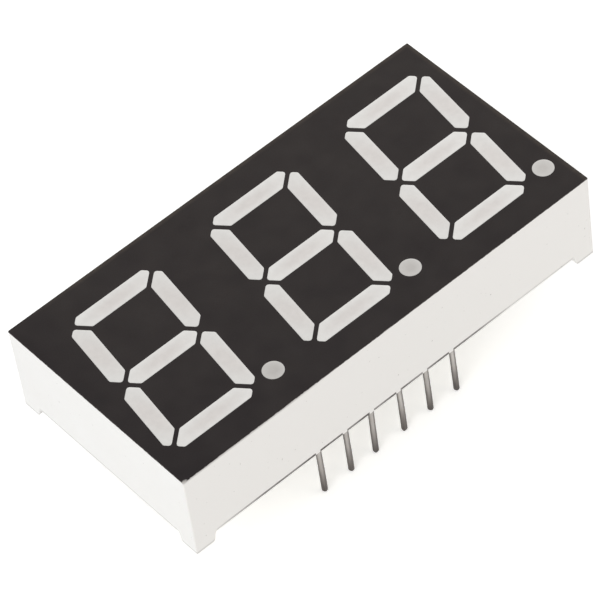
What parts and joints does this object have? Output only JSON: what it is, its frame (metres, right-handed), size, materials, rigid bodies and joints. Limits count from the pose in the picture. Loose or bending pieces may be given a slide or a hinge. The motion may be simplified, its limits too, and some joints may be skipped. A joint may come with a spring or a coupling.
{
  "type": "seven segment display",
  "caption": "Seven segment LED display in a black faced white housing, with slanted digits, decimal points and two rows of round through-hole pins.",
  "frame": {"origin": "centre of the seating plane under the four corner feet, on the axis of the pin pattern", "axes": "+X along the row of digits as read, +Y towards the tops of the digits, +Z out of the face; the pins point to -Z"},
  "size_m": [0.0376, 0.019, 0.0145],
  "materials": {
    "reflector": "satin white moulding",
    "mask": "matt black",
    "window": "cloudy cast resin, ground flat",
    "point_window": "cloudy cast resin, ground flat",
    "board": "solder mask",
    "copper": "bare copper",
    "die": "semiconductor",
    "gold_wire": "drawn gold",
    "pin": "dull tin",
    "solder": "bright solder",
    "seal": "clear to milky epoxy"
  },
  "bodies": {
    "root": {"reflector_housing": "reflector", "face_mask": "mask", "segment_1a": "window", "segment_1b": "window", "segment_1c": "window", "segment_1d": "window", "segment_1e": "window", "segment_1f": "window", "segment_1g": "window", "segment_2a": "window", "segment_2b": "window", "segment_2c": "window", "segment_2d": "window", "segment_2e": "window", "segment_2f": "window", "segment_2g": "window", "segment_3a": "window", "segment_3b": "window", "segment_3c": "window", "segment_3d": "window", "segment_3e": "window", "segment_3f": "window", "segment_3g": "window", "decimal_point_1": "point_window", "decimal_point_2": "point_window", "decimal_point_3": "point_window", "circuit_board": "board", "digit_tracks": "copper", "pin_lands": "copper", "led_dice_1": "die", "led_dice_2": "die", "led_dice_3": "die", "bond_wires_1": "gold_wire", "bond_wires_2": "gold_wire", "bond_wires_3": "gold_wire", "pin_01": "pin", "pin_02": "pin", "pin_03": "pin", "pin_04": "pin", "pin_05": "pin", "pin_06": "pin", "pin_07": "pin", "pin_08": "pin", "pin_09": "pin", "pin_10": "pin", "pin_11": "pin", "pin_12": "pin", "solder_joints": "solder", "back_seal": "seal"}
  },
  "joints": []
}
